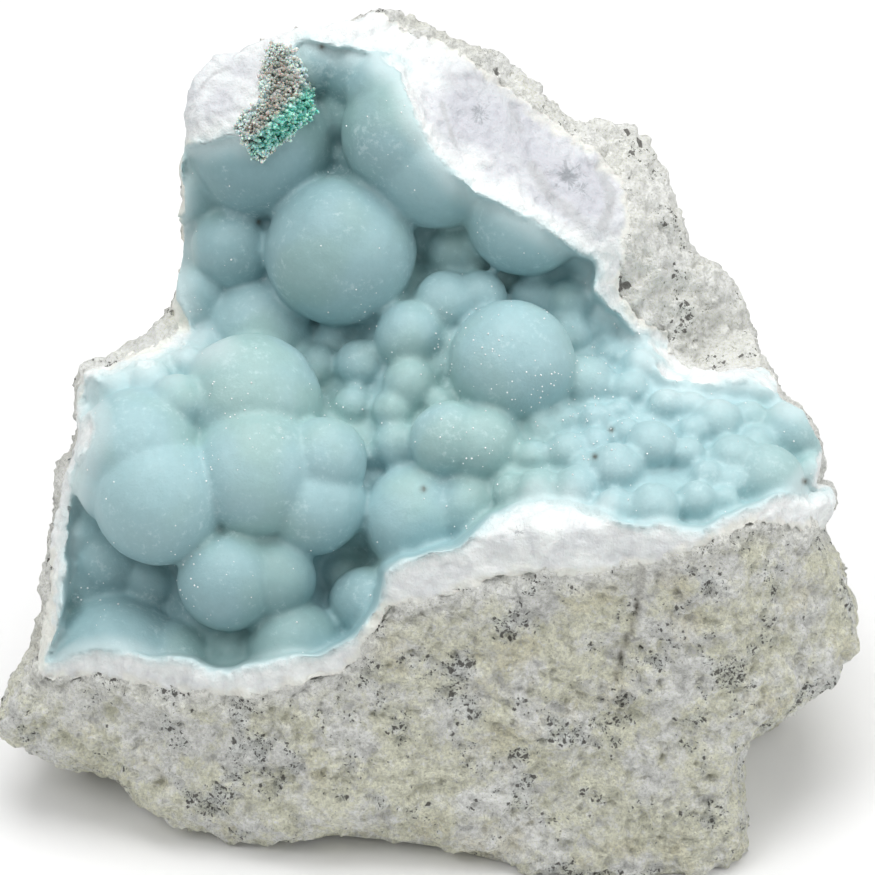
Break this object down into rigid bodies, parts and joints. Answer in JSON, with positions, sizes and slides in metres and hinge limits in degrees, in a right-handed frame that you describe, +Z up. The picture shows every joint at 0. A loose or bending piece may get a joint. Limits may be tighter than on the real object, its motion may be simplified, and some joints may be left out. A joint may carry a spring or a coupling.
{
  "type": "aragonite mineral specimen",
  "caption": "Broken lump of pale rock with a hollow lined by a ball-covered blue crust, its white broken edge showing, and a small green crystal patch; flat below to rest on.",
  "frame": {"origin": "on the resting face, under the middle of the specimen's width and depth", "axes": "+Z up; +X to the right along the broken front that shows the hollow; +Y from that front towards the back"},
  "size_m": [0.1133, 0.0803, 0.0894],
  "materials": {
    "host_rock": "rough, sugary, speckled",
    "aragonite_crust": "satin, faintly see-through, with tiny sparkling grains",
    "green_druse": "small glassy crystals"
  },
  "bodies": {
    "root": {"host_rock": "host_rock", "aragonite_crust": "aragonite_crust", "green_druse": "green_druse"}
  },
  "joints": []
}
